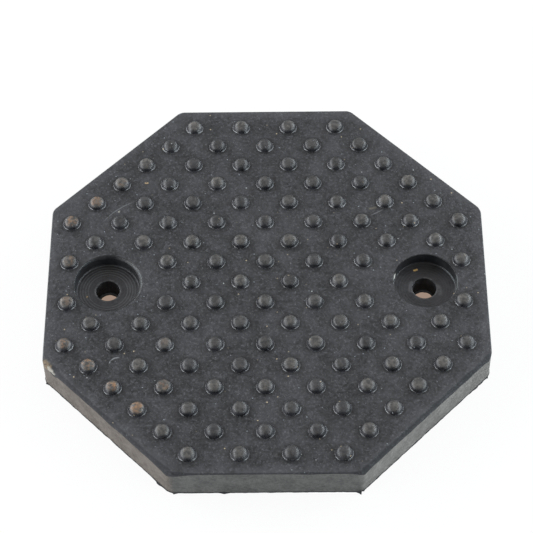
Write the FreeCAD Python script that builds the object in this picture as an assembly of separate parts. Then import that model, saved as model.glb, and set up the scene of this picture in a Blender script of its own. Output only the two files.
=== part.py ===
import FreeCAD
import Part

import math
import os

# Lift arm rubber pad: one moulded octagonal slab, with a field of raised grip studs
# on its top and two counterbored holes for the bolts that hold it to the lift arm.
# The origin is the centre of the flat underside, +Z points up through the studs,
# and the two holes lie on the X axis. All lengths are in millimetres.

# Octagonal slab
SIDES = 8
ACROSS_FLATS = 133.0
SLAB_THICKNESS = 11.1
CORNER_RADIUS = 3.0
TOP_EDGE_CHAMFER = 0.4

# Counterbored bolt holes
HOLE_SPACING = 96.8
BOLT_HOLE_DIAMETER = 7.3
COUNTERBORE_DIAMETER = 19.3
COUNTERBORE_DEPTH = 4.3

# Studs, in rows half a pitch apart, each row shifted half a pitch from the last.
# There are over a hundred, so each round stud is kept to a few flat facets.
STUD_PITCH = 15.0
STUD_DIAMETER = 4.8
STUD_HEIGHT = 1.6
STUD_CROWN_CHAMFER = 0.9
STUD_FACETS = 16

# Least distance of a stud's axis from a side, and of its foot from a counterbore
STUD_SIDE_DISTANCE = 5.0
STUD_BORE_GAP = 0.8

# How far a cutter runs past a face, how deep a stud is rooted, and when two heights are one
OVERRUN = 1.0
STUD_ROOT = 1.0
TOUCH = 0.001


def polygon_face(sides, apothem, height):
    """A regular polygon's face at a height, with a flat side square to +X."""
    reach = apothem / math.cos(math.pi / sides)
    corners = []
    for index in range(sides + 1):
        angle = (index + 0.5) * 2 * math.pi / sides
        corners.append(FreeCAD.Vector(reach * math.cos(angle), reach * math.sin(angle), height))
    return Part.Face(Part.makePolygon(corners))


def edges_at(shape, height):
    """The edges of a shape that lie all along one height."""
    found = []
    for edge in shape.Edges:
        box = edge.BoundBox
        if abs(box.ZMin - height) < TOUCH and abs(box.ZMax - height) < TOUCH:
            found.append(edge)
    return found


def slab():
    """The octagonal block, with its upright corners rounded and its top edge broken."""
    outline = polygon_face(SIDES, ACROSS_FLATS / 2, 0)
    block = outline.extrude(FreeCAD.Vector(0, 0, SLAB_THICKNESS))
    upright = [edge for edge in block.Edges if edge.BoundBox.ZLength > SLAB_THICKNESS / 2]
    block = block.makeFillet(CORNER_RADIUS, upright)
    return block.makeChamfer(TOP_EDGE_CHAMFER, edges_at(block, SLAB_THICKNESS))


def hole_positions():
    """The centres of the two bolt holes on the underside."""
    return [FreeCAD.Vector(side * HOLE_SPACING / 2, 0, 0) for side in (-1, 1)]


def hole_cutter(place):
    """A bolt hole and its counterbore, as the solid that cuts them."""
    up = FreeCAD.Vector(0, 0, 1)
    floor = SLAB_THICKNESS - COUNTERBORE_DEPTH
    through = Part.makeCylinder(BOLT_HOLE_DIAMETER / 2, floor + 2 * OVERRUN, place - up * OVERRUN, up)
    recess = Part.makeCylinder(COUNTERBORE_DIAMETER / 2, COUNTERBORE_DEPTH + OVERRUN, place + up * floor, up)
    return through.fuse(recess)


def stud_positions():
    """The stud lattice, less the places too near a side or a counterbore."""
    row_pitch = STUD_PITCH / 2
    reach = int(ACROSS_FLATS / row_pitch) + 1
    places = []
    for row in range(-reach, reach + 1):
        for column in range(-reach, reach + 1):
            if (row + column) % 2 == 1:
                place = FreeCAD.Vector(column * row_pitch, row * row_pitch, SLAB_THICKNESS)
                if clears_sides(place) and clears_holes(place):
                    places.append(place)
    return places


def clears_sides(place):
    """Whether a stud's axis is far enough inside every side of the octagon."""
    for index in range(SIDES):
        angle = index * 2 * math.pi / SIDES
        outward = place.x * math.cos(angle) + place.y * math.sin(angle)
        if ACROSS_FLATS / 2 - outward < STUD_SIDE_DISTANCE:
            return False
    return True


def clears_holes(place):
    """Whether a stud's foot stands clear of both counterbores."""
    least = COUNTERBORE_DIAMETER / 2 + STUD_DIAMETER / 2 + STUD_BORE_GAP
    for hole in hole_positions():
        if math.hypot(place.x - hole.x, place.y - hole.y) < least:
            return False
    return True


def stud():
    """One grip stud on the slab's top: a short post with a broad chamfer round its flat crown."""
    foot = polygon_face(STUD_FACETS, STUD_DIAMETER / 2, -STUD_ROOT)
    post = foot.extrude(FreeCAD.Vector(0, 0, STUD_ROOT + STUD_HEIGHT))
    return post.makeChamfer(STUD_CROWN_CHAMFER, edges_at(post, STUD_HEIGHT))


def pad():
    """The whole pad as one solid."""
    body = slab()
    for place in hole_positions():
        body = body.cut(hole_cutter(place))
    pattern = stud()
    studs = []
    for place in stud_positions():
        copy = pattern.copy()
        copy.translate(place)
        studs.append(copy)
    return body.fuse(studs).removeSplitter()


def main():
    os.makedirs("parts", exist_ok=True)
    shape = pad()
    shape.exportStep("parts/rubber_pad.step")
    box = shape.BoundBox
    print("rubber_pad:", len(shape.Solids), "solid,", len(stud_positions()), "studs,", "valid", shape.isValid())
    print("size:", round(box.XLength, 3), round(box.YLength, 3), round(box.ZLength, 3))
    print("volume:", round(shape.Volume, 1))


main()
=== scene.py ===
"""Dressed model of a lift arm's rubber pad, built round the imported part.

One moulded octagon with rounded corners, a ragged lip of flash round its foot, two turned bolt
seats and a field of domed grip studs, all united in one closed mesh and dressed as rubber.
Lengths are in metres, in the part's own frame: the origin is the centre of the flat underside.
"""

import logging
import math
import random
from contextlib import contextmanager
from dataclasses import dataclass, field
from enum import Enum, IntEnum
from typing import Any, Callable, Iterator, Sequence

import bmesh
import bpy
from mathutils import Matrix, Vector, noise


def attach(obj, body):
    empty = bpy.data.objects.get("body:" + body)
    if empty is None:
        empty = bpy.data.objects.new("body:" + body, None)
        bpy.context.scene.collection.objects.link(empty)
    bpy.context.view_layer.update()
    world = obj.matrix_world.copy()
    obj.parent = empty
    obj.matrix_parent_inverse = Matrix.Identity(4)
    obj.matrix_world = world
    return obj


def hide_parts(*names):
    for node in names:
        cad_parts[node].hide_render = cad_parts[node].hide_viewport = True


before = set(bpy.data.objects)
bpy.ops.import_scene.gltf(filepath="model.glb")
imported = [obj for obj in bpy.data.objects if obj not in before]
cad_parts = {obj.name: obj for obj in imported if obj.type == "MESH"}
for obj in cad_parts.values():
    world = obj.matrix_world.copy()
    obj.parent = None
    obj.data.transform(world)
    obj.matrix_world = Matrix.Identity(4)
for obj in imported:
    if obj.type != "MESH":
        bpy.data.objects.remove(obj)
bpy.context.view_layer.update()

LOG = logging.getLogger("rubber_pad")

MM = 0.001
BODY = "root"
NODE = "rubber_pad"
CROWN_DUST = "crown_dust"

Colour = tuple[float, float, float, float]
Source = Any


class Element(Enum):
    """What a pick selects in edit mode."""

    FACE = "FACE"
    EDGE = "EDGE"
    VERTEX = "VERT"


class Joining(Enum):
    """How a boolean joins two solids."""

    CUT = "DIFFERENCE"
    UNITE = "UNION"


class Surface(IntEnum):
    """The finishes of the moulding, in the order of its material slots."""

    SKIN = 0
    SIDE = 1
    SEAT = 2
    UNDERSIDE = 3


def srgb(red: int, green: int, blue: int) -> Colour:
    """Turn an 8-bit screen colour into a linear one.

    Args:
        red: Red, from 0 to 255.
        green: Green, from 0 to 255.
        blue: Blue, from 0 to 255.

    Returns:
        The linear colour, with full alpha.
    """
    parts = []
    for part in (red, green, blue):
        share = part / 255
        parts.append(share / 12.92 if share <= 0.04045 else ((share + 0.055) / 1.055) ** 2.4)
    return (parts[0], parts[1], parts[2], 1.0)


def set_apart(piece: bpy.types.Object) -> None:
    """Deselect everything, then select one object and make it active.

    Args:
        piece: The object to work on.
    """
    for other in bpy.context.selected_objects:
        other.select_set(False)
    piece.select_set(True)
    bpy.context.view_layer.objects.active = piece


def settle(piece: bpy.types.Object, name: str) -> None:
    """Name an object and put its place, turn and size into its mesh.

    Args:
        piece: The object to settle.
        name: Its new name, which its mesh takes as well.
    """
    piece.name = name
    piece.data.name = name
    set_apart(piece)
    bpy.ops.object.transform_apply(location=True, rotation=True, scale=True)


@contextmanager
def edit_mode(piece: bpy.types.Object) -> Iterator[None]:
    """Work in edit mode on one object, with nothing of its mesh selected at first.

    Args:
        piece: The object to edit.

    Yields:
        Nothing. Edit mode ends with the block.
    """
    set_apart(piece)
    bpy.ops.object.mode_set(mode="EDIT")
    bpy.ops.mesh.select_all(action="DESELECT")
    yield
    bpy.ops.object.mode_set(mode="OBJECT")


def pick(kind: Element, test: Callable[[Any], bool]) -> None:
    """Select what passes a test in the mesh that is being edited, and nothing else.

    Args:
        kind: Whether faces, edges or vertices are tested.
        test: Says whether one of them is selected.
    """
    bpy.ops.mesh.select_mode(type=kind.value)
    bpy.ops.mesh.select_all(action="DESELECT")
    mesh = bmesh.from_edit_mesh(bpy.context.edit_object.data)
    mesh.normal_update()
    elements = {Element.FACE: mesh.faces, Element.EDGE: mesh.edges, Element.VERTEX: mesh.verts}[kind]
    for element in [element for element in elements if test(element)]:
        element.select_set(True)
    mesh.select_flush_mode()
    bmesh.update_edit_mesh(bpy.context.edit_object.data)


def pick_every_face() -> None:
    """Select every face of the mesh that is being edited."""
    bpy.ops.mesh.select_mode(type=Element.FACE.value)
    bpy.ops.mesh.select_all(action="SELECT")


def make_consistent() -> None:
    """Turn every face of the mesh that is being edited outwards."""
    bpy.ops.mesh.select_all(action="SELECT")
    bpy.ops.mesh.normals_make_consistent(inside=False)


def boolean(piece: bpy.types.Object, other: bpy.types.Object, joining: Joining) -> None:
    """Cut another solid from a piece, or unite the two, and remove the other.

    Args:
        piece: The solid that is kept.
        other: The solid that cuts it or joins it.
        joining: Which of the two is done.
    """
    set_apart(piece)
    modifier = piece.modifiers.new(joining.name.lower(), "BOOLEAN")
    modifier.object = other
    modifier.operation = joining.value
    modifier.solver = "EXACT"
    bpy.ops.object.modifier_apply(modifier=modifier.name)
    bpy.data.objects.remove(other)


def uneven(place: Vector, scales: tuple[float, float], share: float) -> float:
    """Noise at a place, and a share of finer noise over it."""
    coarse, fine = scales
    return noise.noise(place * coarse) + share * noise.noise(place * fine)


@dataclass(frozen=True)
class Ring:
    """One ring of a turned shape: its radius and height, and its centre's shift along X."""

    radius: float
    height: float
    shift: float = 0.0


def rings_of(profile: Sequence[tuple[float, ...]]) -> list[Ring]:
    """The rings of a profile, which gives the radius, height and any shift of each in millimetres."""
    return [Ring(*(size * MM for size in ring)) for ring in profile]


def turned(name: str, rings: Sequence[Ring], steps: int, x: float = 0.0) -> bpy.types.Object:
    """Raise a turned solid from a filled circle, extruding and scaling its cap ring by ring.

    Args:
        name: The solid's name.
        rings: Its rings, from the lowest up.
        steps: How many sides each ring has.
        x: The x of its axis.

    Returns:
        The closed solid.
    """
    first = rings[0]
    place = (x + first.shift, 0, first.height)
    bpy.ops.mesh.primitive_circle_add(vertices=steps, radius=first.radius, fill_type="NGON", location=place)
    solid = bpy.context.object
    settle(solid, name)
    with edit_mode(solid):
        pick_every_face()
        for lower, upper in zip(rings, rings[1:]):
            step = (upper.shift - lower.shift, 0, upper.height - lower.height)
            bpy.ops.mesh.extrude_region_move(TRANSFORM_OT_translate={"value": step})
            factor = upper.radius / lower.radius
            middle = (x + upper.shift, 0, upper.height)
            bpy.ops.transform.resize(value=(factor, factor, 1), center_override=middle)
        make_consistent()
    return solid


@dataclass(frozen=True)
class Nib:
    """A tag of rubber on the flash: its place on the foot, its reach and its width, in millimetres."""

    x: float
    y: float
    reach: float
    width: float


@dataclass(frozen=True)
class Worn:
    """A worn stretch of the top edge: its place, its reach and its depth inward and down, in millimetres."""

    x: float
    y: float
    reach: float
    inward: float
    down: float


@dataclass
class Slab:
    """The octagonal block with its worn corners and the flash round its foot.

    Offsets, radii and levels are in millimetres. Sides and corners are counted anticlockwise from +X.
    """

    sides: int = 8
    across_flats: float = 133.0 * MM
    thickness: float = 11.1 * MM
    side_offsets: tuple[float, ...] = (0.5, -0.07, 0.2, 0.03, -0.03, 0.39, 0.0, 0.08)
    edge_radii: tuple[float, ...] = (0.3, 0.3, 0.2, 0.2, 0.3, 1.35, 0.5, 1.4)
    corner_radii: tuple[float, ...] = (4.0, 3.0, 3.2, 3.0, 2.6, 3.6, 2.4, 3.8)
    corner_steps: int = 7
    side_steps: int = 60
    edge_break: float = 0.3 * MM
    flash_height: float = 0.32 * MM
    flash_reach: float = 0.16 * MM
    flash_ragged: float = 0.12 * MM
    flash_scales: tuple[float, float] = (420.0, 1100.0)
    flash_sway: float = 700.0
    upper_rim: tuple[float, float] = (0.62, 0.25)
    lower_rim: tuple[float, float] = (0.12, 0.1)
    side_wave: float = 0.06 * MM
    wave_scales: tuple[float, float] = (260.0, 900.0)
    wear_ragged: float = 0.25
    rounding_scale: float = 300.0
    worn_scale: float = 800.0
    turning: float = 0.3 * MM
    levels: tuple[float, ...] = (0.32, 2.6, 5.4, 8.2)
    worn: tuple[Worn, ...] = (
        Worn(-27.4, -66.4, 4.6, 0.9, 1.0),
        Worn(-63.3, -31.6, 1.9, 0.9, 1.3),
        Worn(-66.5, -27.6, 2.2, 0.5, 0.5),
        Worn(27.6, -66.4, 2.6, 0.5, 0.8),
        Worn(66.4, -27.6, 2.0, 0.4, 0.6),
        Worn(-45.0, -49.0, 2.6, 0.25, 0.4),
        Worn(12.0, -66.5, 3.0, 0.2, 0.35),
    )
    nibs: tuple[Nib, ...] = (
        Nib(-66.6, -28.7, 0.7, 0.9),
        Nib(27.4, -66.9, 1.2, 0.8),
        Nib(66.9, -27.8, 0.9, 0.7),
        Nib(-12.2, -66.9, 0.4, 0.9),
        Nib(-31.4, -63.4, 0.5, 1.1),
        Nib(-27.6, -66.2, 0.6, 1.0),
        Nib(62.4, -31.6, 0.35, 0.8),
        Nib(64.6, -30.2, 0.3, 0.7),
    )

    @property
    def apothem(self) -> float:
        """The distance from the centre to a side."""
        return self.across_flats / 2

    def normal(self, index: int) -> Vector:
        """The level direction out of one side."""
        angle = index * 2 * math.pi / self.sides
        return Vector((math.cos(angle), math.sin(angle), 0))

    def reach(self, index: int) -> float:
        """The distance from the centre to one side, as it was really cut."""
        return self.apothem + self.side_offsets[index % self.sides] * MM

    def corner(self, index: int) -> Vector:
        """The sharp corner between a side and the next one.

        Args:
            index: The number of the side.

        Returns:
            The corner's place.
        """
        turn = 2 * math.pi / self.sides
        outward = self.normal(index)
        along = (self.reach(index + 1) - self.reach(index) * math.cos(turn)) / math.sin(turn)
        return outward * self.reach(index) + Vector((-outward.y, outward.x, 0)) * along

    def past(self, index: int, place: Vector) -> float:
        """How far a place lies outside one side; less than nothing inside."""
        return self.normal(index).dot(place) - self.reach(index)

    def beyond(self, place: Vector) -> float:
        """How far a place lies outside the nearest side; less than nothing inside."""
        return max(self.past(index, place) for index in range(self.sides))

    def inset(self, x: float, y: float) -> float:
        """The distance of a place inside the even octagon from its nearest side."""
        diagonal = (abs(x) + abs(y)) * math.sqrt(0.5)
        return self.apothem - max(abs(x), abs(y), diagonal)

    def build(self) -> bpy.types.Object:
        """Model the block.

        Returns:
            The block as one closed solid, with no seats cut and no studs.
        """
        turn = math.pi / self.sides
        reach = self.apothem / math.cos(turn)
        tilt = (0, 0, turn)
        bpy.ops.mesh.primitive_circle_add(vertices=self.sides, radius=reach, fill_type="NGON", rotation=tilt)
        block = bpy.context.object
        settle(block, "moulded_rubber_pad")
        corners = [self.corner(index) for index in range(self.sides)]
        for vertex in block.data.vertices:
            vertex.co = min(corners, key=lambda corner: (corner - vertex.co).length)
        with edit_mode(block):
            self.round_corners()
            self.divide_sides()
            self.raise_walls()
            self.break_top_edge()
            self.draw_out_flash()
            make_consistent()
        self.wear(block)
        return block

    def round_corners(self) -> None:
        """Round the outline's corners, each to its own radius."""
        for index, radius in enumerate(self.corner_radii):
            corner = self.corner(index)
            pick(Element.VERTEX, lambda vertex: (vertex.co - corner).length < MM)
            bpy.ops.mesh.bevel(
                offset=radius * MM * math.tan(math.pi / self.sides),
                segments=self.corner_steps,
                profile=0.5,
                affect="VERTICES",
            )

    def divide_sides(self) -> None:
        """Divide the outline's long edges, so that the walls can wave and the flash can be ragged."""
        long_edge = self.apothem / 4
        pick(Element.EDGE, lambda edge: edge.calc_length() > long_edge)
        bpy.ops.mesh.subdivide(number_cuts=self.side_steps - 1)

    def raise_walls(self) -> None:
        """Extrude the outline up in a few levels."""
        pick_every_face()
        below = 0.0
        for level in [level * MM for level in self.levels] + [self.thickness]:
            bpy.ops.mesh.extrude_region_move(TRANSFORM_OT_translate={"value": (0, 0, level - below)})
            below = level
        make_consistent()

    def break_top_edge(self) -> None:
        """Take the sharpness off the edge between the top and the sides."""
        level = self.thickness - 0.01 * MM
        pick(Element.EDGE, lambda edge: all(vertex.co.z > level for vertex in edge.verts))
        bpy.ops.mesh.bevel(offset=self.edge_break, segments=3, profile=0.5, affect="EDGES")

    def draw_out_flash(self) -> None:
        """Draw the lowest strip of the walls out as a thin lip."""
        low = self.flash_height
        pick(Element.FACE, lambda face: face.calc_center_median().z < low and abs(face.normal.z) < 0.5)
        bpy.ops.mesh.extrude_region_shrink_fatten(TRANSFORM_OT_shrink_fatten={"value": self.flash_reach})

    def wear(self, block: bpy.types.Object) -> None:
        """Make the flash ragged, wave the sides a little and wear the corners.

        Args:
            block: The block, in object mode.
        """
        for vertex in block.data.vertices:
            place = vertex.co
            shares = self.shares(place)
            weighed = (self.normal(index) * share for index, share in enumerate(shares))
            outward = sum(weighed, Vector()).normalized()
            if self.beyond(place) > self.flash_reach / 2:
                self.fray(place, outward)
            elif place.z < self.thickness - 1.5 * self.edge_break:
                place += outward * uneven(place, self.wave_scales, 0.5) * self.side_wave
            else:
                radius = sum(radius * share for radius, share in zip(self.edge_radii, shares)) * MM
                self.round_over(place, outward, radius - self.edge_break)
        block.data.update()

    def shares(self, place: Vector) -> list[float]:
        """How much of a place belongs to each side: one together, and shared by two sides at a corner."""
        weights = [math.exp(self.past(index, place) / self.turning) for index in range(self.sides)]
        return [weight / sum(weights) for weight in weights]

    def round_over(self, place: Vector, outward: Vector, extra: float) -> None:
        """Wear one vertex of the top edge: the top's rim goes in, and the rings below it go down.

        Args:
            place: The vertex's place, which is changed.
            outward: The level direction out of the nearest side.
            extra: How much larger than the mesh's own the edge's radius is here.
        """
        depth = min(1.0, max(0.0, (self.thickness - place.z) / self.edge_break))
        inset = 1 - math.sqrt(depth * (2 - depth))
        inward = down = extra * (1 + self.wear_ragged * noise.noise(place * self.rounding_scale))
        ragged = 1 + self.wear_ragged * noise.noise(place * self.worn_scale)
        for worn in self.worn:
            gap = math.hypot(place.x / MM - worn.x, place.y / MM - worn.y) / worn.reach
            amount = math.exp(-gap * gap) * ragged * MM
            inward += worn.inward * amount
            down += worn.down * amount
        place.z -= down * depth
        place -= outward * inward * inset

    def fray(self, place: Vector, outward: Vector) -> None:
        """Move one vertex of the flash's rim.

        Args:
            place: The vertex's place, which is changed.
            outward: The level direction out of the nearest side.
        """
        along = Vector((place.x, place.y, 0))
        reach = uneven(along, self.flash_scales, 0.7) * self.flash_ragged
        for nib in self.nibs:
            gap = (along - Vector((nib.x, nib.y, 0)) * MM).length / (nib.width * MM)
            reach += nib.reach * MM * math.exp(-gap * gap)
        place += outward * reach
        level, sway = self.upper_rim if place.z > self.flash_height / 2 else self.lower_rim
        place.z = self.flash_height * level
        place.z += noise.noise(along * self.flash_sway) * self.flash_height * sway


@dataclass(frozen=True)
class Seat:
    """The solid that cuts a bolt hole and its counterbore: its axis, and its profile in millimetres."""

    name: str
    x: float
    profile: Sequence[tuple[float, ...]]
    steps: int = 96
    burr_height: float = 0.3 * MM
    burr_ragged: float = 0.16 * MM
    burr_scale: float = 500.0
    burr_difference: float = 40.0

    def build(self) -> bpy.types.Object:
        """Turn the cutter about its axis, and make the burr that it leaves at the hole's foot ragged.

        Returns:
            The closed cutter.
        """
        cutter = turned(self.name, rings_of(self.profile), self.steps, self.x)
        axis = Vector((self.x, 0, 0))
        apart = axis * self.burr_difference
        for vertex in cutter.data.vertices:
            if vertex.co.z < self.burr_height:
                way = Vector((vertex.co.x, vertex.co.y, 0)) - axis
                ragged = noise.noise(way * self.burr_scale + apart)
                ragged += 0.5 * noise.noise(way * (3 * self.burr_scale) + apart)
                vertex.co += way.normalized() * ragged * self.burr_ragged
        cutter.data.update()
        return cutter


@dataclass
class Seats:
    """The two bolt seats, one clean and one worn. All but their spacing is in millimetres."""

    spacing: float = 96.8 * MM
    hole_radius: float = 3.65
    seat_radius: float = 9.65
    floor: float = 6.8
    top: float = 11.1
    grooves: int = 7
    first_groove: float = 1.75
    groove_pitch: float = 0.56

    def hole(self, burr: float) -> list[tuple[float, ...]]:
        """The profile of the bolt hole, from below the slab up to the seat's floor."""
        radius = self.hole_radius
        return [(burr, -1.0), (burr, 0.22), (radius, 0.5), (radius, self.floor - 0.02)]

    def clean(self) -> Seat:
        """The right-hand seat, with crisp edges.

        Returns:
            The seat's cutter.
        """
        hole, seat, floor, top = self.hole_radius, self.seat_radius, self.floor, self.top
        profile = self.hole(3.2) + [
            (hole + 0.12, floor + 0.1),
            (hole + 0.45, floor + 0.12),
            (hole + 1.5, floor + 0.02),
            (seat - 1.6, floor),
            (seat - 0.22, floor + 0.02),
            (seat - 0.06, floor + 0.2),
            (seat - 0.02, floor + 0.45),
            (seat, top - 0.2),
            (seat + 0.07, top - 0.06, 0.04),
            (seat + 0.24, top, 0.1),
            (seat + 0.6, top + 1.0, 0.1),
        ]
        return Seat("right_seat", self.spacing / 2, profile)

    def worn(self) -> Seat:
        """The left-hand seat, with turned grooves in its floor and a mouth worn wide to the right.

        Returns:
            The seat's cutter.
        """
        hole, seat, floor, top = self.hole_radius, self.seat_radius, self.floor, self.top
        profile = self.hole(3.02) + [
            (hole + 0.15, floor + 0.09),
            (hole + 0.5, floor + 0.1),
            (hole + 1.4, floor),
        ]
        for groove in range(self.grooves):
            crest = hole + self.first_groove + groove * self.groove_pitch
            profile.append((crest, floor + 0.07 + groove * 0.02))
            profile.append((crest + self.groove_pitch / 2, floor - 0.02 + groove * 0.03))
        profile += [
            (seat - 0.28, floor + 0.19),
            (seat - 0.07, floor + 0.52),
            (seat - 0.02, floor + 0.95),
            (seat, top - 1.15),
            (seat + 0.16, top - 0.75, 0.12),
            (seat + 0.42, top - 0.34, 0.26),
            (seat + 0.7, top - 0.06, 0.36),
            (seat + 0.84, top, 0.4),
            (seat + 1.6, top + 1.0, 0.4),
        ]
        return Seat("left_seat", -self.spacing / 2, profile)

    def gap(self, x: float, y: float) -> float:
        """The distance of a place from the nearer seat's axis."""
        return math.hypot(abs(x) - self.spacing / 2, y)


class StudShape(Enum):
    """The studs' shapes: radius and height above the slab of each ring over the foot, in millimetres."""

    ROUND = ((2.44, 0.55), (2.24, 1.02), (1.9, 1.46), (1.42, 1.76), (0.86, 1.91), (0.4, 1.95))
    TAPERED = ((2.38, 0.58), (2.14, 1.05), (1.76, 1.47), (1.29, 1.75), (0.78, 1.9), (0.34, 1.94))
    FLAT = ((2.46, 0.55), (2.32, 0.98), (2.06, 1.37), (1.66, 1.63), (1.14, 1.78), (0.55, 1.83))


@dataclass
class StudField:
    """The field of grip studs on the slab's top, and the share of rusty dust on some by column and row."""

    pitch: float = 15.0 * MM
    diameter: float = 4.8 * MM
    foot: tuple[tuple[float, float], ...] = ((2.6, -0.8), (2.92, -0.08), (2.75, 0.04), (2.59, 0.24))
    steps: int = 16
    shape_shares: tuple[float, ...] = (0.45, 0.3, 0.25)
    lean: float = 1.6
    least_stretch: float = 0.93
    side_distance: float = 5.0 * MM
    seat_gap: float = 0.8 * MM
    shift: float = -0.2 * MM
    seed: int = 11
    seed_step: int = 97
    dust_level: float = 0.2 * MM
    plain_dust: float = 0.22
    dusty: dict[tuple[int, int], float] = field(
        default_factory=lambda: {
            (-8, 3): 1.0, (-7, 4): 0.75, (-6, 5): 0.5, (-8, 1): 0.55, (-8, -1): 0.5, (-8, -3): 0.85,
            (-7, -4): 1.0, (-6, -5): 0.95, (-5, -6): 1.0, (-4, -5): 0.6, (-4, -3): 0.4, (-4, -7): 0.3,
        }
    )

    def clearance(self, seats: Seats) -> float:
        """The least distance of a stud's axis from a seat's."""
        return seats.seat_radius * MM + self.diameter / 2 + self.seat_gap

    def places(self, slab: Slab, seats: Seats) -> list[tuple[int, int]]:
        """The columns and rows of the lattice that hold a stud.

        Args:
            slab: The block, whose sides the studs keep away from.
            seats: The bolt seats, which they keep clear of.

        Returns:
            Column and row of each stud.
        """
        half = self.pitch / 2
        reach = int(slab.across_flats / half) + 1
        found = []
        for row in range(-reach, reach + 1):
            for column in range(-reach, reach + 1):
                x, y = column * half, row * half
                clear = slab.inset(x, y) >= self.side_distance and seats.gap(x, y) >= self.clearance(seats)
                if (row + column) % 2 == 1 and clear:
                    found.append((column, row))
        return found

    def build(self, slab: Slab, seats: Seats) -> bpy.types.Object:
        """Model each stud shape once, and copy it over the field.

        Args:
            slab: The block that carries the studs.
            seats: The bolt seats that they keep clear of.

        Returns:
            All the studs as one object of many closed shells.
        """
        chance = random.Random(self.seed)
        top = slab.thickness / MM
        patterns = {}
        for shape in StudShape:
            profile = [(radius, top + height) for radius, height in self.foot + shape.value]
            patterns[shape] = turned(f"stud_{shape.name.lower()}", rings_of(profile), self.steps)
        studs = []
        for column, row in self.places(slab, seats):
            shape = chance.choices(list(StudShape), self.shape_shares)[0]
            stud = patterns[shape].copy()
            stud.data = patterns[shape].data.copy()
            bpy.context.scene.collection.objects.link(stud)
            place = Vector((column * self.pitch / 2 + self.shift, row * self.pitch / 2, 0))
            stud.data.transform(Matrix.Translation(place) @ self.set_off(chance, slab.thickness))
            studs.append(stud)
        for pattern in patterns.values():
            bpy.data.objects.remove(pattern)
        set_apart(studs[0])
        for stud in studs:
            stud.select_set(True)
        bpy.ops.object.join()
        LOG.info("studs: %d", len(studs))
        return bpy.context.object

    def set_off(self, chance: random.Random, top: float) -> Matrix:
        """A random turn and a slight lean and stretch about a stud's foot.

        Args:
            chance: The field's random draws.
            top: The height of the slab's top.

        Returns:
            The transform of a stud that stands on the Z axis.
        """
        turn = Matrix.Rotation(chance.uniform(0, math.tau), 4, "Z")
        lean = Matrix.Rotation(math.radians(chance.uniform(-self.lean, self.lean)), 4, "X")
        again = Matrix.Rotation(chance.uniform(0, math.tau), 4, "Z")
        stretch = Matrix.Diagonal((1.0, 1.0, chance.uniform(self.least_stretch, 1.0), 1.0))
        foot = Matrix.Translation(Vector((0, 0, top)))
        return foot @ again @ lean @ turn @ stretch @ foot.inverted()

    def dust(self, piece: bpy.types.Object, slab: Slab) -> None:
        """Give each stud its share of dust, as an attribute of the piece's vertices.

        Args:
            piece: The finished moulding.
            slab: The block that carries the studs.
        """
        half = self.pitch / 2
        shares = piece.data.attributes.new(CROWN_DUST, "FLOAT", "POINT")
        for vertex in piece.data.vertices:
            if vertex.co.z < slab.thickness + self.dust_level:
                continue
            column, row = round((vertex.co.x - self.shift) / half), round(vertex.co.y / half)
            chance = random.Random(self.seed + self.seed_step * column + row)
            plain = chance.uniform(0.0, self.plain_dust)
            shares.data[vertex.index].value = self.dusty.get((column, row), plain)


@dataclass(frozen=True)
class Mark:
    """A scuff or spot: its place, heading, bend, reach and width in millimetres, its tint and its cover."""

    x: float
    y: float
    z: float
    heading: float
    bend: float
    reach: float
    width: float
    tint: Colour
    cover: float

    @property
    def middle(self) -> tuple[float, float, float]:
        """The middle of the mark, in metres."""
        return (self.x * MM, self.y * MM, self.z * MM)

    @property
    def centre(self) -> tuple[float, float, float]:
        """The centre of the circle that the mark lies along, on the left of its heading.

        Returns:
            Its place in metres.
        """
        angle = math.radians(self.heading + 90)
        x, y, z = self.middle
        return (x + math.cos(angle) * self.bend * MM, y + math.sin(angle) * self.bend * MM, z)


@dataclass(frozen=True)
class Specks:
    """Scattered specks: cells per metre, size and share of the cells, tint, and least and most cover."""

    scale: float
    size: float
    share: float
    tint: Colour
    least: float
    most: float


WORN_CORNER = (
    Mark(-65.2, -29.0, 10.8, -45.0, 6.0, 2.2, 1.4, srgb(158, 136, 108), 0.65),
    Mark(-64.2, -30.4, 10.3, -45.0, 6.0, 1.5, 0.8, srgb(205, 200, 188), 0.85),
    Mark(-63.4, -31.4, 9.8, -45.0, 6.0, 1.2, 0.7, srgb(200, 195, 184), 0.8),
)


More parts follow.
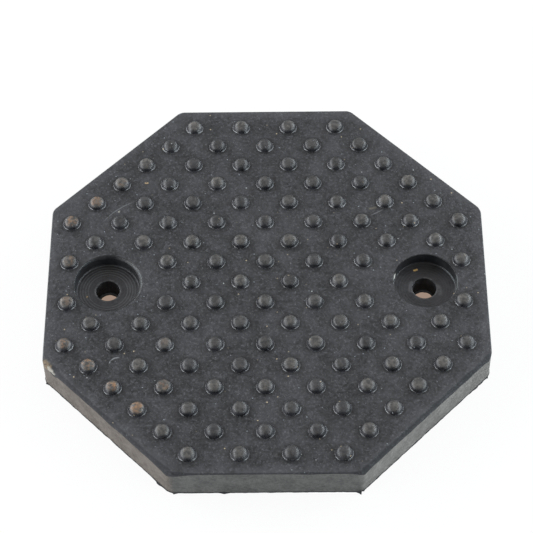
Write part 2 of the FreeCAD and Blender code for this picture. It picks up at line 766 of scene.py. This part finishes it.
class Nodes:
    """Adds, sets and links the nodes of one material, world or node group."""

    def __init__(self, tree: bpy.types.NodeTree) -> None:
        """Work on a node tree."""
        self.tree = tree
        self.place: Source = None

    def add(self, kind: str, **settings: Any) -> bpy.types.Node:
        """Add a node.

        Args:
            kind: The shader node's type.
            settings: Values of its properties, by name.

        Returns:
            The new node.
        """
        node = self.tree.nodes.new("ShaderNode" + kind)
        for name, value in settings.items():
            setattr(node, name, value)
        return node

    def feed(self, socket: bpy.types.NodeSocket, source: Source) -> None:
        """Link a socket to another node's output, or set its plain value.

        Args:
            socket: The input to feed.
            source: The output or the value.
        """
        if isinstance(source, bpy.types.NodeSocket):
            self.tree.links.new(source, socket)
        else:
            socket.default_value = source

    def put(self, node: bpy.types.Node, **sources: Source) -> bpy.types.Node:
        """Feed a node's inputs by name.

        Args:
            node: The node.
            sources: What goes into its inputs, by name, with underscores for spaces.

        Returns:
            The same node.
        """
        for name, source in sources.items():
            self.feed(node.inputs[name.replace("_", " ")], source)
        return node

    def math(self, operation: str, first: Source, second: Source = 0.0) -> Source:
        """Combine two values with a Math node.

        Args:
            operation: What the node does.
            first: Its first value.
            second: Its second value, where it has one.

        Returns:
            The result.
        """
        node = self.add("Math", operation=operation)
        self.feed(node.inputs[0], first)
        self.feed(node.inputs[1], second)
        return node.outputs[0]

    def times(self, first: Source, *others: Source) -> Source:
        """Multiply values.

        Args:
            first: The first value.
            others: The other values.

        Returns:
            Their product.
        """
        for other in others:
            first = self.math("MULTIPLY", first, other)
        return first

    def plus(self, first: Source, second: Source) -> Source:
        """Add two values."""
        return self.math("ADD", first, second)

    def minus(self, first: Source, second: Source) -> Source:
        """Take one value from another."""
        return self.math("SUBTRACT", first, second)

    def length(self, x: Source, y: Source) -> Source:
        """The length of a flat vector, in millimetres."""
        square = self.plus(self.math("POWER", x, 2.0), self.math("POWER", y, 2.0))
        return self.math("DIVIDE", self.math("SQRT", square), MM)

    def from_axis(self, x: Source, y: Source, seats: Seats) -> Source:
        """The distance of a place from the nearer bolt axis, in millimetres."""
        return self.length(self.minus(self.math("ABSOLUTE", x), seats.spacing / 2), y)

    def noise(self, scale: Source, detail: float = 3.0, roughness: float = 0.55) -> Source:
        """A noise value over the place."""
        node = self.add("TexNoise")
        return self.put(node, Vector=self.place, Scale=scale, Detail=detail, Roughness=roughness).outputs[0]

    def step(self, value: Source, low: Source, high: Source, start: float = 0.0, end: float = 1.0) -> Source:
        """Take a value smoothly from start to end as it goes from low to high."""
        node = self.add("MapRange", interpolation_type="SMOOTHSTEP")
        return self.put(node, Value=value, From_Min=low, From_Max=high, To_Min=start, To_Max=end).outputs[0]

    def mix(self, factor: Source, first: Source, second: Source) -> Source:
        """Blend two colours.

        Args:
            factor: How much of the second there is.
            first: The first colour.
            second: The second colour.

        Returns:
            The blend.
        """
        node = self.add("Mix", data_type="RGBA")
        for index, source in ((0, factor), (6, first), (7, second)):
            self.feed(node.inputs[index], source)
        return node.outputs[2]

    def split(self) -> tuple[Source, Source, Source]:
        """The three parts of the place."""
        node = self.put(self.add("SeparateXYZ"), Vector=self.place)
        return (node.outputs[0], node.outputs[1], node.outputs[2])


class Group(Nodes):
    """A shader node group on its way: its nodes, what it is given and what it puts out."""

    def __init__(self, name: str, inputs: dict[str, float], outputs: Sequence[str], *points: str) -> None:
        """Start a group, with the place as its first input.

        Args:
            name: The group's name.
            inputs: Its plain inputs, by name, with their defaults.
            outputs: The names of its outputs, which are all plain values.
            points: The names of its other vector inputs.
        """
        super().__init__(bpy.data.node_groups.new(name, "ShaderNodeTree"))
        sockets = self.tree.interface
        for label in ("Vector", *points):
            sockets.new_socket(label, in_out="INPUT", socket_type="NodeSocketVector")
        for label, default in inputs.items():
            socket = sockets.new_socket(label, in_out="INPUT", socket_type="NodeSocketFloat")
            socket.default_value = default
        for label in outputs:
            sockets.new_socket(label, in_out="OUTPUT", socket_type="NodeSocketFloat")
        self.given = self.tree.nodes.new("NodeGroupInput").outputs
        self.out = self.tree.nodes.new("NodeGroupOutput")
        self.place = self.given["Vector"]


class Effects:
    """The node groups that the finishes share."""

    def __init__(self, slab: Slab, seats: Seats, studs: StudField) -> None:
        """Build every group once.

        Args:
            slab: The block.
            seats: The bolt seats.
            studs: The field of studs.
        """
        self.mottle = self.make_mottle()
        self.specks = self.make_specks()
        self.distances = self.make_distances(slab, seats, studs)
        self.wear = self.make_broken_band()
        # A broken band; it draws the hole mouths' pale ring and the painted highlight along the seats' feet.
        self.scuff = self.make_scuff()

    def make_mottle(self) -> bpy.types.NodeTree:
        """Broad cloudy patches and a fine grain over them.

        Returns:
            The group.
        """
        group = Group("rubber_mottle", {"Patch Scale": 90.0, "Grain Scale": 1500.0}, ["Patches", "Grain"])
        patches = group.noise(group.given["Patch Scale"], 4.0, 0.6)
        grain = group.noise(group.given["Grain Scale"], 3.0, 0.65)
        group.put(group.out, Patches=group.step(patches, 0.36, 0.64), Grain=group.step(grain, 0.34, 0.66))
        return group.tree

    def make_specks(self) -> bpy.types.NodeTree:
        """Scattered specks of dust, as a mask and a random shade for each.

        Returns:
            The group.
        """
        group = Group("dust_specks", {"Scale": 300.0, "Size": 0.1, "Share": 0.2}, ["Mask", "Shade"])
        cells = group.add("TexVoronoi", feature="F1")
        group.put(cells, Vector=group.place, Scale=group.given["Scale"])
        draws = group.put(group.add("SeparateColor"), Color=cells.outputs["Color"]).outputs
        size = group.times(group.given["Size"], group.plus(group.noise(2600.0, 2.0, 0.6), 0.5))
        inside = group.step(cells.outputs["Distance"], group.times(size, 0.5), size, 1.0, 0.0)
        kept = group.math("LESS_THAN", draws[0], group.given["Share"])
        group.put(group.out, Mask=group.times(inside, kept), Shade=draws[1])
        return group.tree

    def make_distances(self, slab: Slab, seats: Seats, studs: StudField) -> bpy.types.NodeTree:
        """Millimetres inside the nearest side, from the nearer bolt axis and from the nearest stud's axis.

        Args:
            slab: The block.
            seats: The bolt seats.
            studs: The field of studs.

        Returns:
            The group. Where a seat leaves no room for a stud, the last distance is far too large.
        """
        group = Group("pad_distances", {}, ["Side", "Axis", "Stud"])
        x, y, _ = group.split()
        across, along = group.math("ABSOLUTE", x), group.math("ABSOLUTE", y)
        diagonal = group.times(group.plus(across, along), math.sqrt(0.5))
        furthest = group.math("MAXIMUM", group.math("MAXIMUM", across, along), diagonal)
        side = group.math("DIVIDE", group.minus(slab.apothem, furthest), MM)
        column = group.math("DIVIDE", group.minus(x, studs.shift), studs.pitch)
        row = group.math("DIVIDE", y, studs.pitch)
        rise = group.minus(group.math("FRACT", group.plus(column, row)), 0.5)
        fall = group.minus(group.math("FRACT", group.minus(column, row)), 0.5)
        off_x = group.times(group.plus(rise, fall), studs.pitch / 2)
        off_y = group.times(group.minus(rise, fall), studs.pitch / 2)
        from_seat = group.from_axis(group.minus(x, off_x), group.minus(y, off_y), seats)
        left_out = group.math("LESS_THAN", from_seat, studs.clearance(seats) / MM)
        stud = group.plus(group.length(off_x, off_y), group.times(left_out, 100.0))
        group.put(group.out, Side=side, Axis=group.from_axis(x, y, seats), Stud=stud)
        return group.tree

    def make_broken_band(self) -> bpy.types.NodeTree:
        """A broken band along a line where a distance is zero.

        Returns:
            The group.
        """
        group = Group("broken_band", {"Distance": 0.0, "Width": 1.0, "Breaks": 250.0}, ["Mask"])
        away = group.math("ABSOLUTE", group.given["Distance"])
        band = group.step(group.math("DIVIDE", away, group.given["Width"]), 0.0, 1.0, 1.0, 0.0)
        broken = group.step(group.noise(group.given["Breaks"], 4.0, 0.65), 0.42, 0.62)
        group.put(group.out, Mask=group.times(band, broken))
        return group.tree

    def make_scuff(self) -> bpy.types.NodeTree:
        """A thin curved scuff: part of a circle's line, near one of its points.

        Returns:
            The group.
        """
        points = ("Centre", "Middle")
        group = Group("scuff", {"Radius": 1.0, "Reach": 1.0, "Width": 1.0}, ["Mask"], *points)
        gaps = []
        for point in points:
            node = group.add("VectorMath", operation="DISTANCE")
            group.feed(node.inputs[0], group.place)
            group.feed(node.inputs[1], group.given[point])
            gaps.append(group.math("DIVIDE", node.outputs["Value"], MM))
        off = group.math("ABSOLUTE", group.minus(gaps[0], group.given["Radius"]))
        line = group.step(group.math("DIVIDE", off, group.given["Width"]), 0.2, 1.0, 1.0, 0.0)
        near = group.step(group.math("DIVIDE", gaps[1], group.given["Reach"]), 0.6, 1.0, 1.0, 0.0)
        broken = group.step(group.noise(900.0), 0.3, 0.5)
        group.put(group.out, Mask=group.times(line, near, broken))
        return group.tree


class Dressing(Nodes):
    """One material on its way: its nodes, shader and colour so far, and the mottle of its rubber."""

    def __init__(self, name: str, effects: Effects, patches: float, grain: float, specular: float) -> None:
        """Start a material with a single shader.

        Args:
            name: The material's name.
            effects: The shared node groups.
            patches: The scale of its cloudy patches.
            grain: The scale of its grain.
            specular: The specular level of its shader.
        """
        self.material = bpy.data.materials.new(name)
        self.material.use_nodes = True
        super().__init__(self.material.node_tree)
        self.effects = effects
        self.shader = self.tree.nodes["Principled BSDF"]
        self.put(self.shader, Specular_IOR_Level=specular)
        self.colour: Source = None
        self.place = self.add("TexCoord").outputs["Object"]
        self.x, self.y, self.height = self.split()
        mottle = self.use(effects.mottle, Patch_Scale=patches, Grain_Scale=grain)
        self.patches, self.grain = mottle["Patches"], mottle["Grain"]

    def use(self, group: bpy.types.NodeTree, **inputs: Source) -> Any:
        """Place a node group.

        Args:
            group: The group's node tree.
            inputs: Its inputs besides the place, by name, with underscores for spaces.

        Returns:
            The outputs of the group's node.
        """
        node = self.add("Group")
        node.node_tree = group
        return self.put(node, Vector=self.place, **inputs).outputs

    def mottled(self, share: float) -> Source:
        """The patches and the grain in one value, with a share of patches."""
        return self.plus(self.times(self.patches, share), self.times(self.grain, 1 - share))

    def lay(self, tint: Source, *masks: Source) -> None:
        """Lay a tint over the colour so far, as far as all the masks let it show."""
        self.colour = self.mix(self.times(*masks), self.colour, tint)

    def sprinkle(self, kinds: Sequence[Specks]) -> None:
        """Scatter specks over the colour so far.

        Args:
            kinds: The kinds of specks.
        """
        for kind in kinds:
            specks = self.use(self.effects.specks, Scale=kind.scale, Size=kind.size, Share=kind.share)
            self.lay(kind.tint, specks["Mask"], self.step(specks["Shade"], 0.0, 1.0, kind.least, kind.most))

    def mark(self, marks: Sequence[Mark]) -> None:
        """Draw scuffs and spots over the colour so far.

        Args:
            marks: The scuffs and spots.
        """
        for mark in marks:
            line = {"Centre": mark.centre, "Radius": mark.bend, "Middle": mark.middle}
            scuff = self.use(self.effects.scuff, **line, Reach=mark.reach, Width=mark.width)
            self.lay(mark.tint, scuff["Mask"], mark.cover)

    def finish(self, roughness: Source, height: Source, depth: float) -> bpy.types.Material:
        """Feed the shader, whose base colour is the colour so far.

        Args:
            roughness: The roughness.
            height: The relief, from 0 to 1.
            depth: How many metres the relief's whole range is deep.

        Returns:
            The finished material.
        """
        bump = self.put(self.add("Bump"), Strength=1.0, Distance=depth, Height=height)
        self.put(self.shader, Base_Color=self.colour, Roughness=roughness, Normal=bump.outputs["Normal"])
        return self.material


@dataclass(frozen=True)
class SkinFinish:
    """The moulded top and its studs: charcoal with a cloudy sheen, dust, a few scuffs, a painted highlight
    along the top's sides and painted shade round the studs' feet.
    """

    dark: Colour = srgb(10, 11, 14)
    light: Colour = srgb(45, 45, 48)
    haze: Colour = srgb(65, 65, 68)
    film: Colour = srgb(102, 103, 106)
    edge: Colour = srgb(20, 21, 22)
    crown_dark: Colour = srgb(52, 50, 49)
    crown: Colour = srgb(90, 86, 82)
    rust: Colour = srgb(138, 104, 74)
    relief: float = 0.08 * MM
    dust: tuple[Specks, ...] = (
        Specks(330.0, 0.1, 0.32, srgb(158, 143, 120), 0.3, 1.0),
        Specks(460.0, 0.11, 0.5, srgb(122, 128, 134), 0.3, 1.0),
        Specks(300.0, 0.085, 0.3, srgb(150, 152, 152), 0.3, 1.0),
    )
    marks: tuple[Mark, ...] = (
        Mark(-45.6, -27.5, 11.1, 220.0, 2.5, 2.5, 0.24, srgb(140, 143, 145), 0.65),
        Mark(-46.2, 27.7, 11.1, 219.0, 22.0, 6.5, 0.26, srgb(110, 112, 114), 0.5),
        Mark(34.8, 25.9, 11.1, 30.0, 30.0, 2.8, 0.26, srgb(115, 117, 119), 0.5),
        Mark(33.4, 27.5, 11.1, 15.0, 9.0, 1.5, 0.6, srgb(112, 104, 90), 0.4),
        Mark(-45.7, 27.0, 11.1, 60.0, 4.0, 0.42, 0.35, srgb(205, 200, 186), 0.85),
        Mark(-37.5, 38.1, 11.1, 0.0, 4.0, 0.7, 0.45, srgb(176, 150, 112), 0.8),
    )

    def dress(self, effects: Effects, slab: Slab, studs: StudField) -> bpy.types.Material:
        """Build the material.

        Args:
            effects: The shared node groups.
            slab: The block that it dresses.
            studs: The studs that it dresses.

        Returns:
            The material.
        """
        made = Dressing("moulded_skin", effects, patches=260.0, grain=900.0, specular=0.5)
        top, height = slab.thickness, made.height
        flat = made.step(height, top + 0.1 * MM, top + 0.5 * MM, 1.0, 0.0)
        blend = made.mottled(0.4)
        cloud = made.step(made.noise(70.0, 4.0, 0.65), 0.42, 0.66, 0.0, 0.32)
        film = made.step(made.noise(1500.0, 3.0, 0.75), 0.52, 0.68, 0.0, 0.36)
        made.colour = made.mix(blend, self.dark, self.light)
        made.lay(self.haze, cloud, flat)
        made.lay(self.film, film, flat)
        made.sprinkle(self.dust)
        made.mark(self.marks + WORN_CORNER)
        self.add_crowns(made, top, studs.plain_dust)
        distances = made.use(effects.distances)
        side, axis = distances["Side"], distances["Stud"]
        in_field = made.step(side, 2.8, 3.2)
        # Painted highlight: a pale haze along the top's sides, fading out over 4 mm.
        made.lay(self.film, made.step(side, 0.3, 4.0, 0.12, 0.0), flat)
        # Painted shade: a dark ring on the flat top round each stud's foot.
        made.lay(self.dark, made.step(axis, 2.9, 3.05), made.step(axis, 3.15, 3.7, 0.45, 0.0), in_field, flat)
        # Darker on the rounding of the top edge, below its last 0.3 mm.
        made.lay(self.edge, made.step(height, top - 0.3 * MM, top - 0.02 * MM, 0.27, 0.0))
        stud = made.times(made.step(axis, 2.85, 3.0, 1.0, 0.0), in_field)
        dome = made.step(height, top + 0.35 * MM, top + 1.4 * MM, 0.2, 0.5)
        worn = made.step(height, top - 0.2 * MM, top, 0.5, 0.0)
        plain = made.plus(made.step(blend, 0.1, 0.9, 0.42, 0.6), worn)
        rough = made.plus(made.times(dome, stud), made.times(plain, made.minus(1.0, stud)))
        relief = made.times(made.mottled(0.55), made.step(stud, 0.0, 1.0, 1.0, 0.35))
        return made.finish(rough, relief, self.relief)

    def add_crowns(self, made: Dressing, top: float, plain: float) -> None:
        """Dull the studs' crowns, and lay rust-coloured dust on some.

        Args:
            made: The material on its way.
            top: The height of the slab's top.
            plain: The most dust that an ordinary stud has.
        """
        share = made.add("Attribute", attribute_name=CROWN_DUST).outputs["Fac"]
        uneven = made.plus(made.height, made.times(made.noise(620.0, 2.0, 0.6), 0.7 * MM))
        worn = made.step(uneven, top + 1.2 * MM, top + 2.15 * MM)
        crown = made.mix(made.grain, self.crown_dark, self.crown)
        made.lay(crown, worn, made.step(share, 0.0, plain, 0.2, 0.8))
        powder = made.step(made.noise(800.0, 3.0, 0.6), 0.4, 0.66)
        upper = made.step(uneven, top + 1.4 * MM, top + 2.3 * MM)
        made.lay(self.rust, made.step(share, plain, 1.0), powder, upper, 0.8)


@dataclass(frozen=True)
class SideFinish:
    """The cut sides: dull grey rubber, with painted light and shade: warmer at the left, cooler at the right
    and darker on the front and back walls.
    """

    # Painted light and shade: the left tones warmer, the right ones cooler, the front ones darker.
    left: tuple[Colour, Colour] = (srgb(82, 75, 70), srgb(109, 102, 95))
    right: tuple[Colour, Colour] = (srgb(90, 88, 85), srgb(119, 117, 113))
    front: tuple[Colour, Colour] = (srgb(74, 73, 72), srgb(101, 100, 98))
    pits: tuple[Specks, ...] = (Specks(300.0, 0.12, 0.12, srgb(56, 54, 52), 0.6, 0.6),)
    roughness: float = 0.72
    relief: float = 0.06 * MM

    def dress(self, effects: Effects) -> bpy.types.Material:
        """Build the material.

        Args:
            effects: The shared node groups.

        Returns:
            The material.
        """
        made = Dressing("cut_side", effects, patches=240.0, grain=1100.0, specular=0.35)
        shade = made.mottled(0.5)
        left, right, front = (made.mix(shade, *tones) for tones in (self.left, self.right, self.front))
        # Painted light and shade: warm on the left walls, cool on the right, and darker on the front and back
        # walls.
        made.colour = made.mix(made.step(made.x, -10 * MM, 10 * MM), left, right)
        made.lay(front, made.step(made.math("ABSOLUTE", made.x), 26.5 * MM, 29 * MM, 1.0, 0.0))
        made.sprinkle(self.pits)
        made.mark(WORN_CORNER)
        return made.finish(self.roughness, made.mottled(0.4), self.relief)


@dataclass(frozen=True)
class SeatFinish:
    """The turned bolt seats and holes: black walls, a duller floor with painted shade towards its back, a
    paler ring at the hole's mouth, and painted highlights along the floor's foot and round the right seat.
    """

    dark: Colour = srgb(17, 18, 19)
    light: Colour = srgb(31, 32, 34)
    floor_dark: Colour = srgb(34, 34, 37)
    floor_light: Colour = srgb(57, 57, 60)
    rim: Colour = srgb(98, 98, 99)
    grit: tuple[Specks, ...] = (Specks(300.0, 0.09, 0.08, srgb(176, 148, 98), 0.7, 0.7),)
    ridges: float = 7.6
    relief: float = 0.035 * MM
    marks: tuple[Mark, ...] = (
        Mark(46.0, 6.8, 6.8, 20.0, 4.0, 0.9, 0.5, srgb(190, 156, 96), 0.9),
        Mark(-54.7, -2.2, 6.8, 50.0, 4.0, 0.45, 0.35, srgb(168, 142, 100), 0.8),
        # A chip with a painted highlight on the right seat's left wall.
        Mark(39.35, 3.4, 8.6, 90.0, 9.0, 1.4, 0.5, srgb(225, 222, 214), 0.85),
        # Painted highlights on the right seat's floor, left and right of the hole.
        Mark(44.0, 0.7, 6.8, 260.0, 4.6, 2.6, 0.8, srgb(98, 98, 101), 0.5),
        Mark(53.0, -0.6, 6.8, 100.0, 5.2, 2.6, 1.1, srgb(88, 88, 90), 0.55),
        # Painted highlight along the right seat's foot, at its right and back.
        Mark(56.2, 5.3, 7.0, 125.0, 9.4, 4.2, 0.22, srgb(112, 117, 120), 0.6),
        # Painted highlights on the rounded rim of the right seat's mouth, at its left and right.
        Mark(38.55, -1.2, 11.0, 270.0, 9.8, 4.6, 0.4, srgb(108, 110, 110), 0.6),
        Mark(58.2, -2.2, 11.0, 78.0, 9.8, 5.2, 0.4, srgb(108, 110, 110), 0.6),
    )

    def dress(self, effects: Effects, seats: Seats) -> bpy.types.Material:
        """Build the material.

        Args:
            effects: The shared node groups.
            seats: The seats that it dresses.

        Returns:
            The material.
        """
        made = Dressing("turned_seat", effects, patches=260.0, grain=1300.0, specular=0.4)
        x, y, height = made.x, made.y, made.height
        shade = made.mottled(0.6)
        axis = made.use(effects.distances)["Axis"]
        made.colour = made.mix(shade, self.floor_dark, self.floor_light)
        # Painted shade: the floor darker towards the back of each seat.
        made.lay(self.dark, made.step(y, 1.5 * MM, 8.0 * MM, 0.0, 0.55))
        ridges = made.step(made.math("SINE", made.times(axis, self.ridges)), -0.2, 0.9, 0.0, 0.3)
        made.lay(self.rim, ridges, made.step(axis, 4.8, 6.0), made.step(x, -MM, MM, 1.0, 0.3))
        above = made.step(height, (seats.floor + 0.35) * MM, (seats.floor + 0.8) * MM)
        made.lay(made.mix(shade, self.dark, self.light), above)
        from_rim = made.minus(axis, seats.hole_radius + 0.25)
        rim = made.use(effects.wear, Distance=from_rim, Width=0.5, Breaks=500.0)["Mask"]
        made.lay(self.rim, rim, 0.45)
        # Painted highlight: a pale line along the seat floor's foot, strongest at the front of the left seat.
        from_foot = made.minus(axis, seats.seat_radius - 0.1)
        foot = made.use(effects.wear, Distance=from_foot, Width=0.35, Breaks=180.0)["Mask"]
        low = made.step(height, (seats.floor + 0.3) * MM, (seats.floor + 0.6) * MM, 0.45, 0.0)
        highlight_in_front = made.step(y, 2.0 * MM, 7.0 * MM, 1.0, 0.15)
        highlight_at_left = made.step(x, -MM, MM, 1.0, 0.25)
        made.lay(self.rim, foot, low, highlight_in_front, highlight_at_left)
        made.sprinkle(self.grit)
        made.mark(self.marks)
        return made.finish(made.step(shade, 0.2, 0.8, 0.4, 0.52), made.mottled(0.5), self.relief)


@dataclass(frozen=True)
class UndersideFinish:
    """The flat underside: the skin's colour under a film of dust."""

    dark: Colour = srgb(50, 51, 53)
    dusty: Colour = srgb(88, 86, 82)
    roughness: float = 0.62
    relief: float = 0.03 * MM

    def dress(self, effects: Effects) -> bpy.types.Material:
        """Build the material.

        Args:
            effects: The shared node groups.

        Returns:
            The material.
        """
        made = Dressing("underside_skin", effects, patches=60.0, grain=1500.0, specular=0.4)
        made.colour = made.mix(made.times(made.patches, 0.6), self.dark, self.dusty)
        return made.finish(self.roughness, made.grain, self.relief)


@dataclass
class RubberPad:
    """The whole moulding: slab, seats and studs united and dressed."""

    slab: Slab = field(default_factory=Slab)
    seats: Seats = field(default_factory=Seats)
    studs: StudField = field(default_factory=StudField)
    smooth_angle: float = math.radians(48)
    seat_lip: float = 0.9 * MM
    touch: float = 0.01 * MM
    lowest: float = 0.2 * MM
    level: float = 0.9
    upright: float = 0.2

    def build(self) -> bpy.types.Object:
        """Model and dress the pad.

        Returns:
            The finished piece.
        """
        pad = self.slab.build()
        LOG.info("block: %d faces", len(pad.data.polygons))
        for seat in (self.seats.clean(), self.seats.worn()):
            boolean(pad, seat.build(), Joining.CUT)
        boolean(pad, self.studs.build(self.slab, self.seats), Joining.UNITE)
        self.smooth(pad)
        self.studs.dust(pad, self.slab)
        self.dress(pad)
        return pad

    def smooth(self, pad: bpy.types.Object) -> None:
        """Shade the pad smooth with flat faces kept flat.

        Args:
            pad: The united moulding.
        """
        set_apart(pad)
        bpy.ops.object.shade_smooth_by_angle(angle=self.smooth_angle)
        modifier = pad.modifiers.new("flat_faces", "WEIGHTED_NORMAL")
        modifier.mode = "FACE_AREA"
        modifier.keep_sharp = True
        bpy.ops.object.modifier_apply(modifier=modifier.name)

    def dress(self, pad: bpy.types.Object) -> None:
        """Give every face its finish.

        Args:
            pad: The united moulding.
        """
        effects = Effects(self.slab, self.seats, self.studs)
        finishes = {
            Surface.SKIN: SkinFinish().dress(effects, self.slab, self.studs),
            Surface.SIDE: SideFinish().dress(effects),
            Surface.SEAT: SeatFinish().dress(effects, self.seats),
            Surface.UNDERSIDE: UndersideFinish().dress(effects),
        }
        pad.data.materials.clear()
        for surface in Surface:
            pad.data.materials.append(finishes[surface])
        for polygon in pad.data.polygons:
            polygon.material_index = int(self.surface_of(polygon.center, polygon.normal))

    def surface_of(self, centre: Vector, normal: Vector) -> Surface:
        """Tell which surface a face belongs to.

        Args:
            centre: The face's centre.
            normal: The face's normal.

        Returns:
            The surface.
        """
        lip = self.seats.seat_radius * MM + self.seat_lip
        inside = self.touch < centre.z < self.slab.thickness - self.touch
        if self.seats.gap(centre.x, centre.y) < lip and inside:
            return Surface.SEAT
        if normal.z < -self.level and centre.z < self.lowest:
            return Surface.UNDERSIDE
        upright = abs(normal.z) < self.upright and centre.z > self.slab.flash_height
        if upright and self.slab.beyond(centre) > -MM:
            return Surface.SIDE
        return Surface.SKIN


@dataclass(frozen=True)
class Stand:
    """Where a lamp or camera stands. Azimuth 0 is in front of the pad, along -Y, and 90 is along +X."""

    name: str
    azimuth: float
    elevation: float
    distance: float

    def put_up(self, data: bpy.types.ID, aim: Vector, roll: float = 0.0) -> bpy.types.Object:
        """Place a lamp or camera so that it looks at a point.

        Args:
            data: The lamp's or camera's data.
            aim: The point.
            roll: Its turn about its own line of sight, in degrees.

        Returns:
            The object.
        """
        turn, rise, roll = (math.radians(angle) for angle in (self.azimuth, 90 - self.elevation, roll))
        way = Matrix.Rotation(turn, 4, "Z") @ Matrix.Rotation(rise, 4, "X") @ Matrix.Rotation(roll, 4, "Z")
        stood = bpy.data.objects.new(self.name, data)
        bpy.context.scene.collection.objects.link(stood)
        stood.matrix_world = Matrix.Translation(aim) @ way @ Matrix.Translation((0, 0, self.distance))
        return stood


@dataclass(frozen=True)
class SoftBox(Stand):
    """A rectangular soft lamp aimed at the pad."""

    width: float
    height: float
    power: float
    tint: tuple[float, float, float]

    def build(self) -> None:
        """Place the lamp."""
        data = bpy.data.lights.new(self.name, "AREA")
        data.shape = "RECTANGLE"
        data.size, data.size_y = self.width, self.height
        data.energy = self.power
        data.color = self.tint
        self.put_up(data, Vector())


@dataclass(frozen=True)
class Viewpoint(Stand):
    """The photograph's camera, as fitted to the studs: angles in degrees, lengths in metres."""

    name: str = "camera"
    azimuth: float = 0.70
    elevation: float = 55.02
    distance: float = 0.62205
    roll: float = -1.05
    aim: tuple[float, float, float] = (0.000195, 0.00564, 0.0111)
    focal_length: float = 137.41
    sensor: float = 36.0

    def build(self) -> None:
        """Make the camera and look through it."""
        data = bpy.data.cameras.new(self.name)
        data.lens = self.focal_length
        data.sensor_width = self.sensor
        data.clip_start, data.clip_end = 0.01, 100.0
        bpy.context.scene.camera = self.put_up(data, Vector(self.aim), self.roll)


@dataclass
class Studio:
    """The floor, the lamps, the room's light and the camera."""

    floor_size: float = 12.0
    floor_drop: float = 0.05 * MM
    floor_tone: Colour = (0.8, 0.8, 0.8, 1.0)
    paper: Colour = srgb(166, 143, 128)
    paper_reach: float = 1.4
    backdrop: Colour = (1.0, 1.0, 1.0, 1.0)
    backdrop_share: float = 0.9
    room_tone: Colour = (0.06, 0.063, 0.066, 1.0)
    boxes: tuple[SoftBox, ...] = (
        SoftBox("wall_left", -95, 19, 0.9, 2.4, 0.56, 10.9, (0.93, 0.96, 1.0)),
        SoftBox("wall_right", 95, 19, 0.9, 2.4, 0.56, 11.2, (0.86, 0.94, 1.0)),
        SoftBox("strip_left", -100, 22, 0.86, 1.7, 0.18, 11.0, (0.92, 0.97, 1.0)),
        SoftBox("strip_right", 100, 22, 0.86, 1.7, 0.18, 8.1, (0.86, 0.95, 1.0)),
        SoftBox("box_back", 154, 45, 1.1, 1.9, 1.35, 6.3, (1.0, 0.985, 0.975)),
        SoftBox("box_top", 0, 68, 1.1, 1.6, 1.2, 4.0, (1.0, 0.98, 0.95)),
    )

    def build(self, seats: Seats) -> None:
        """Make the whole studio.

        Args:
            seats: The bolt seats, through which a patch of the table shows.
        """
        for box in self.boxes:
            box.build()
        bpy.ops.mesh.primitive_plane_add(size=self.floor_size, location=(0, 0, -self.floor_drop))
        floor = bpy.context.object
        floor.name = "floor"
        floor.data.materials.append(self.floor_material(seats))
        self.light_room()
        Viewpoint().build()
        bpy.context.scene.view_settings.view_transform = "Standard"

    def floor_material(self, seats: Seats) -> bpy.types.Material:
        """A floor that the camera sees as white, with the pad's shadow on it and paper under the bolt holes.

        Args:
            seats: The bolt seats.

        Returns:
            The material.
        """
        material = bpy.data.materials.new("pale_floor")
        material.use_nodes = True
        nodes = Nodes(material.node_tree)
        nodes.tree.nodes.clear()
        nodes.place = nodes.add("TexCoord").outputs["Object"]
        x, y, _ = nodes.split()
        under = nodes.math("LESS_THAN", nodes.from_axis(x, y, seats), seats.hole_radius * self.paper_reach)
        matt = nodes.put(nodes.add("BsdfDiffuse"), Color=nodes.mix(under, self.floor_tone, self.paper))
        glow = nodes.put(nodes.add("Emission"), Color=nodes.mix(under, self.backdrop, self.paper))
        seen = nodes.add("LightPath").outputs["Is Camera Ray"]
        blend = nodes.add("MixShader")
        sources = (nodes.times(seen, self.backdrop_share), matt.outputs[0], glow.outputs[0])
        for socket, source in zip(blend.inputs, sources):
            nodes.feed(socket, source)
        nodes.put(nodes.add("OutputMaterial"), Surface=blend.outputs[0])
        return material

    def light_room(self) -> None:
        """Light the room dimly, and show it white to the camera."""
        world = bpy.data.worlds.new("room")
        world.use_nodes = True
        bpy.context.scene.world = world
        nodes = Nodes(world.node_tree)
        seen = nodes.add("LightPath").outputs["Is Camera Ray"]
        nodes.put(nodes.tree.nodes["Background"], Color=nodes.mix(seen, self.room_tone, self.backdrop))


def main() -> None:
    """Build the pad and the studio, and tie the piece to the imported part."""
    logging.basicConfig(level=logging.INFO, format="%(message)s")
    moulding = RubberPad()
    pad = moulding.build()
    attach(pad, BODY)
    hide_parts(NODE)
    LOG.info("%s: %d faces", pad.name, len(pad.data.polygons))
    Studio().build(moulding.seats)


if __name__ == "__main__":
    main()
